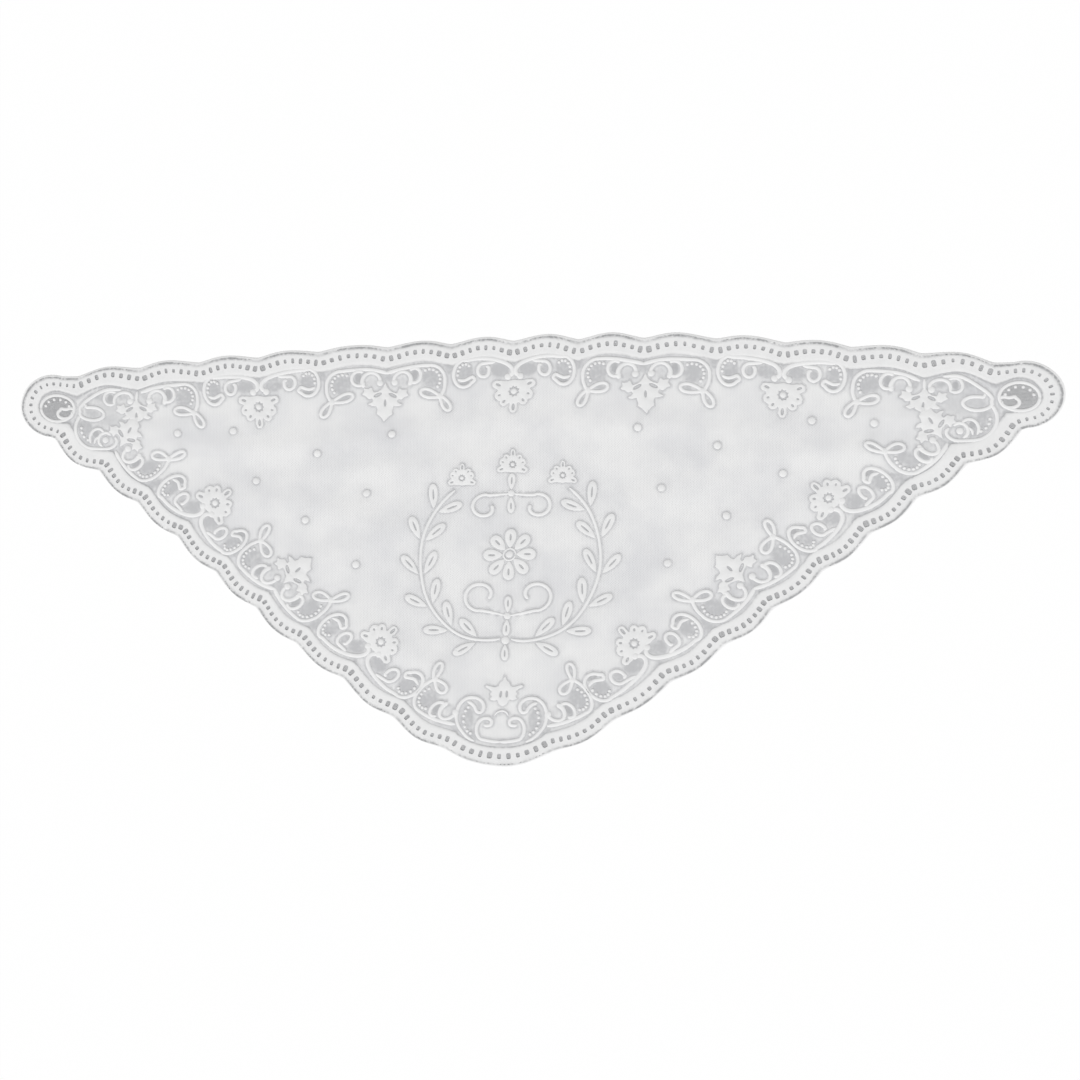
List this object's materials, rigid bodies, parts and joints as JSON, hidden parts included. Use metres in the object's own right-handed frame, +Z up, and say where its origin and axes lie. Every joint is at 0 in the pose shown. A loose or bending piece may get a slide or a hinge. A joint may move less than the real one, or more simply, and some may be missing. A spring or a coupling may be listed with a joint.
{
  "type": "lace shawl",
  "caption": "Triangular white lace shawl laid flat: fine net with raised scrolls, flowers and leaves, and a scalloped border with eyelet slots.",
  "frame": {"origin": "centre of the bounding box in plan, on the surface that the shawl lies on", "axes": "+X along the long neck edge towards the right tip, +Y from the apex towards the neck edge, +Z up out of the surface"},
  "size_m": [1.046, 0.4344, 0.0017],
  "materials": {
    "net": "fine soft net, matt",
    "dense_lace": "close soft lace, matt"
  },
  "bodies": {
    "root": {"net_ground": "net", "border_band": "dense_lace"}
  },
  "joints": []
}
